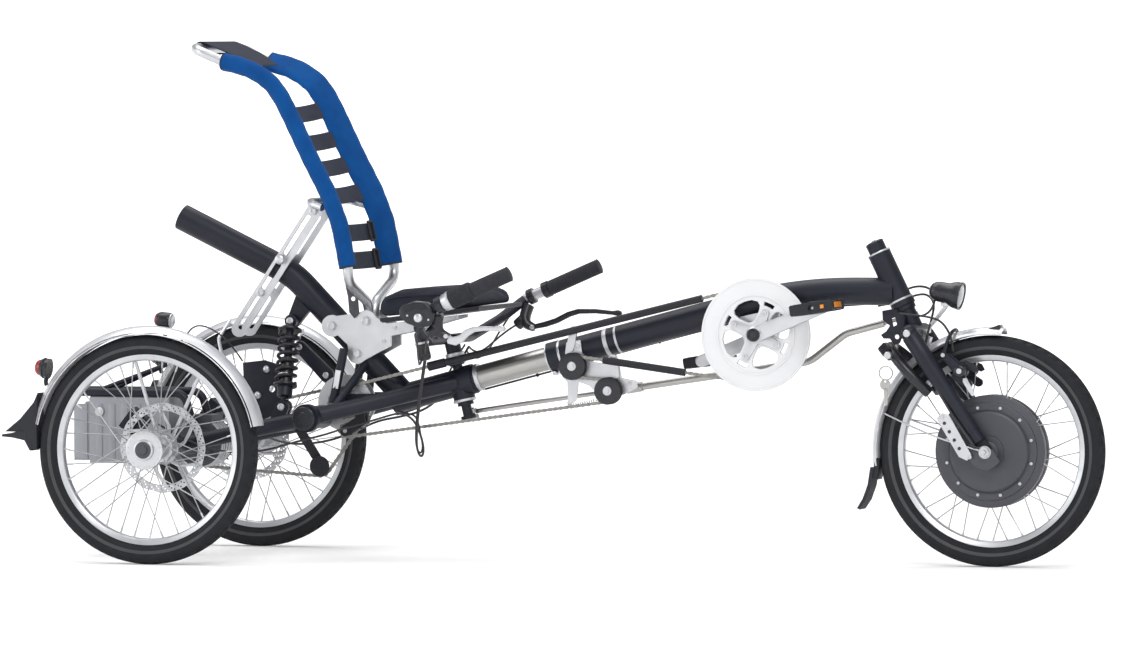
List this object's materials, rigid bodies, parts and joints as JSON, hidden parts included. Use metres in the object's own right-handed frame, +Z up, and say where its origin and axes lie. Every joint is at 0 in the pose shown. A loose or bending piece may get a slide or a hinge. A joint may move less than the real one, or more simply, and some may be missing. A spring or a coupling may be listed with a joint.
{
  "type": "recumbent trike",
  "caption": "Recumbent trike with a reclined strap seat, steering under the seat, a telescopic boom with the pedals and a motor hub in the steered front wheel.",
  "frame": {"origin": "on the ground, under the middle of the whole trike", "axes": "+X forwards, +Y to the rider's left, +Z up"},
  "size_m": [2.3829, 0.814, 1.1379],
  "materials": {
    "black_paint": "satin black powder coat",
    "aluminium": "brushed and polished aluminium",
    "silver_paint": "silver lacquer",
    "stainless": "brushed stainless tube",
    "motor_grey": "grey anodised motor case",
    "spring_black": "black coated spring steel",
    "chain_steel": "nickel plated chain",
    "brake_steel": "bare steel disc",
    "tyre": "black tyre with a light side band",
    "black_plastic": "matt black plastic",
    "gloss_black": "gloss black plastic",
    "white_plastic": "white plastic",
    "grip_rubber": "soft black rubber",
    "blue_cloth": "royal blue woven cloth",
    "grey_webbing": "dark grey webbing",
    "seat_cloth": "black seat cover",
    "cable_black": "black cable sheath"
  },
  "bodies": {
    "frame": {"main_frame": "black_paint", "pivot_tube": "black_paint", "swing_arm": "black_paint", "rear_axle": "black_paint", "shock_absorber": "black_paint", "shock_spring": "spring_black", "inner_tube": "stainless", "boom_clamp": "black_paint", "front_boom": "black_paint", "head_tube": "black_paint", "bottom_bracket": "aluminium", "idler_bracket": "aluminium", "idlers": "black_plastic", "chain_tubes": "black_plastic", "drive_chain": "chain_steel", "final_chain": "chain_steel", "gear_hub": "aluminium", "derailleur": "black_plastic", "differential": "aluminium", "battery": "silver_paint", "battery_carrier": "black_paint", "disc_calipers": "black_paint", "seat_bracket": "aluminium", "seat_struts": "aluminium", "seat_frame": "aluminium", "right_sleeve": "blue_cloth", "left_sleeve": "blue_cloth", "seat_straps": "grey_webbing", "headrest": "grey_webbing", "seat_pan": "black_plastic", "seat_cushion": "seat_cloth", "rear_fenders": "silver_paint", "rear_mudflaps": "grip_rubber", "tail_lamps": "gloss_black", "frame_cables": "cable_black"},
    "fork": {"fork": "black_paint", "fork_cables": "cable_black", "front_fender": "silver_paint", "front_mudflap": "grip_rubber", "headlight": "gloss_black", "ring_lock": "gloss_black", "rim_brake": "black_paint", "torque_arm": "aluminium"},
    "handlebar": {"handlebar": "black_paint", "grips": "grip_rubber", "brake_levers": "gloss_black"},
    "steering_rod": {"steering_rod": "stainless"},
    "front_wheel": {"hub_motor": "motor_grey", "front_rim": "aluminium", "front_tyre": "tyre"},
    "right_wheel": {"right_hub": "brake_steel", "right_rim": "aluminium", "right_tyre": "tyre"},
    "left_wheel": {"left_hub": "brake_steel", "left_rim": "aluminium", "left_tyre": "tyre"},
    "crank_set": {"chainring": "white_plastic", "cranks": "aluminium"},
    "right_pedal": {"right_pedal": "black_plastic"},
    "left_pedal": {"left_pedal": "black_plastic"}
  },
  "joints": [
    {"name": "steer", "type": "hinge", "parent": "frame", "child": "fork", "pos_m": [0.6895, 0, 0.674], "axis": [-0.4384, 0, 0.8988], "range_deg": [-30, 30]},
    {"name": "handlebar_turn", "type": "hinge", "parent": "frame", "child": "handlebar", "pos_m": [-0.2585, 0, 0.367], "axis": [-0.225, 0, 0.9744], "range_deg": [-30, 30]},
    {"name": "rod_swing", "type": "hinge", "parent": "handlebar", "child": "steering_rod", "pos_m": [-0.24838, 0.0369, 0.32315], "axis": [-0.225, 0, 0.9744], "range_deg": [-30, 30]},
    {"name": "front_wheel_spin", "type": "hinge", "parent": "fork", "child": "front_wheel", "pos_m": [0.9415, 0, 0.25], "axis": [0, 1, 0], "continuous": true},
    {"name": "right_wheel_spin", "type": "hinge", "parent": "frame", "child": "right_wheel", "pos_m": [-0.8585, -0.37, 0.25], "axis": [0, 1, 0], "continuous": true},
    {"name": "left_wheel_spin", "type": "hinge", "parent": "frame", "child": "left_wheel", "pos_m": [-0.8585, 0.37, 0.25], "axis": [0, 1, 0], "continuous": true},
    {"name": "crank_spin", "type": "hinge", "parent": "frame", "child": "crank_set", "pos_m": [0.4265, 0, 0.499], "axis": [0, 1, 0], "continuous": true},
    {"name": "right_pedal_spin", "type": "hinge", "parent": "crank_set", "child": "right_pedal", "pos_m": [0.58467, -0.13, 0.56131], "axis": [0, 1, 0], "continuous": true},
    {"name": "left_pedal_spin", "type": "hinge", "parent": "crank_set", "child": "left_pedal", "pos_m": [0.26833, 0.13, 0.43669], "axis": [0, 1, 0], "continuous": true}
  ],
  "couplings": [
    {"joint": "handlebar_turn", "follows": "steer", "ratio": 1},
    {"joint": "rod_swing", "follows": "steer", "ratio": -1}
  ]
}
